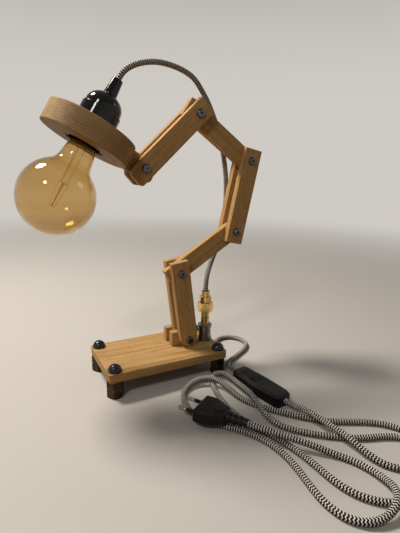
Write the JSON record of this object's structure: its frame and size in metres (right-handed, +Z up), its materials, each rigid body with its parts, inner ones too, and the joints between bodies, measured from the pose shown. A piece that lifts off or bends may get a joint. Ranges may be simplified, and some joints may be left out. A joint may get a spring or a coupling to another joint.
{
  "type": "desk lamp",
  "caption": "Articulated wooden desk lamp: a board base on stacked nuts, a bolted arm of laths, a disc head with a globe lamp, and a braided cord with switch and plug.",
  "frame": {"origin": "on the table, under the middle of the lamp's bounding box without its free cord", "axes": "+Z up; the arm folds in the XZ plane with the globe towards -X; the bolt heads, the switch and the plug are on the -Y side"},
  "size_m": [0.3291, 0.3408, 0.3647],
  "materials": {
    "oak": "oiled pale oak with straight grain",
    "black_steel": "blackened steel",
    "dark_steel": "dark oxidised steel",
    "plain_steel": "plain bright steel",
    "brass": "worn yellow brass",
    "rubber": "black rubber",
    "gloss_black": "glossy black moulding",
    "ceramic": "white ceramic",
    "amber_glass": "clear glass with an amber tint",
    "clear_glass": "clear glass",
    "filament": "fine yellow wires",
    "matte_black": "matte black moulding",
    "braid": "black and off-white zigzag braid"
  },
  "bodies": {
    "base": {"base_plate": "oak", "foot_bolts": "black_steel", "foot_nuts_upper": "dark_steel", "foot_nuts_lower": "dark_steel", "cheek_near": "oak", "cheek_far": "oak", "cheek_screws": "plain_steel", "gland_stud": "plain_steel", "gland_lock_nut": "plain_steel", "gland_coupling": "black_steel", "gland_nipple": "brass", "gland_hex": "brass", "gland_clamp": "brass", "gland_seal": "rubber", "lead_in_gland": "braid", "cord_base": "braid", "cord_mains": "braid", "switch_lower": "matte_black", "switch_upper": "matte_black", "switch_contacts": "brass", "switch_screws": "plain_steel", "plug_body": "matte_black", "plug_relief": "matte_black", "plug_pins": "plain_steel", "plug_sleeves": "matte_black", "head_lead_1": "braid"},
    "arm_1": {"arm_1_near": "oak", "arm_1_far": "oak", "pivot_bolts_lower": "dark_steel", "pivot_nuts_lower": "dark_steel", "head_lead_2": "braid"},
    "arm_2": {"arm_2": "oak", "head_lead_3": "braid"},
    "arm_3": {"arm_3_near": "oak", "arm_3_far": "oak", "pivot_bolts_middle": "dark_steel", "pivot_nuts_middle": "dark_steel", "head_lead_4": "braid"},
    "arm_4": {"arm_4": "oak", "head_lead_5": "braid"},
    "arm_5": {"arm_5_near": "oak", "arm_5_far": "oak", "pivot_bolts_upper": "dark_steel", "pivot_nuts_upper": "dark_steel", "head_lead_6": "braid"},
    "head": {"head_disc": "oak", "head_tongue": "oak", "holder_skirt": "gloss_black", "holder_cap": "gloss_black", "holder_grip": "gloss_black", "holder_insert": "ceramic", "holder_shell": "brass", "holder_contact": "brass", "bulb_cap": "plain_steel", "bulb_contact": "brass", "bulb_glass": "amber_glass", "bulb_stem": "clear_glass", "bulb_filaments": "filament"},
    "switch_rocker": {"switch_rocker": "matte_black"}
  },
  "joints": [
    {"name": "base_pivot", "type": "hinge", "parent": "base", "child": "arm_1", "pos_m": [0.0432, 0, 0.0395], "axis": [0, 1, 0], "range_deg": [-14, 8], "deforming": ["head_lead_1"]},
    {"name": "arm_1_2_pivot", "type": "hinge", "parent": "arm_1", "child": "arm_2", "pos_m": [0.03115, 0, 0.12748], "axis": [0, -1, 0], "range_deg": [-25, 40], "deforming": ["head_lead_2"]},
    {"name": "arm_2_3_pivot", "type": "hinge", "parent": "arm_2", "child": "arm_3", "pos_m": [0.10662, 0, 0.17427], "axis": [0, 1, 0], "range_deg": [-20, 60], "deforming": ["head_lead_3"]},
    {"name": "arm_3_4_pivot", "type": "hinge", "parent": "arm_3", "child": "arm_4", "pos_m": [0.12493, 0, 0.26116], "axis": [0, 1, 0], "range_deg": [-18, 65], "deforming": ["head_lead_4"]},
    {"name": "arm_4_5_pivot", "type": "hinge", "parent": "arm_4", "child": "arm_5", "pos_m": [0.05192, 0, 0.31172], "axis": [0, 1, 0], "range_deg": [-20, 70], "deforming": ["head_lead_5"]},
    {"name": "head_pivot", "type": "hinge", "parent": "arm_5", "child": "head", "pos_m": [-0.0126, 0, 0.2507], "axis": [0, -1, 0], "range_deg": [-25, 60], "deforming": ["head_lead_6"]},
    {"name": "switch_rocker_pivot", "type": "hinge", "parent": "base", "child": "switch_rocker", "pos_m": [0.09405, -0.0975, 0.0105], "axis": [0.9876, 0.1572, 0], "range_deg": [-14, 0]}
  ]
}
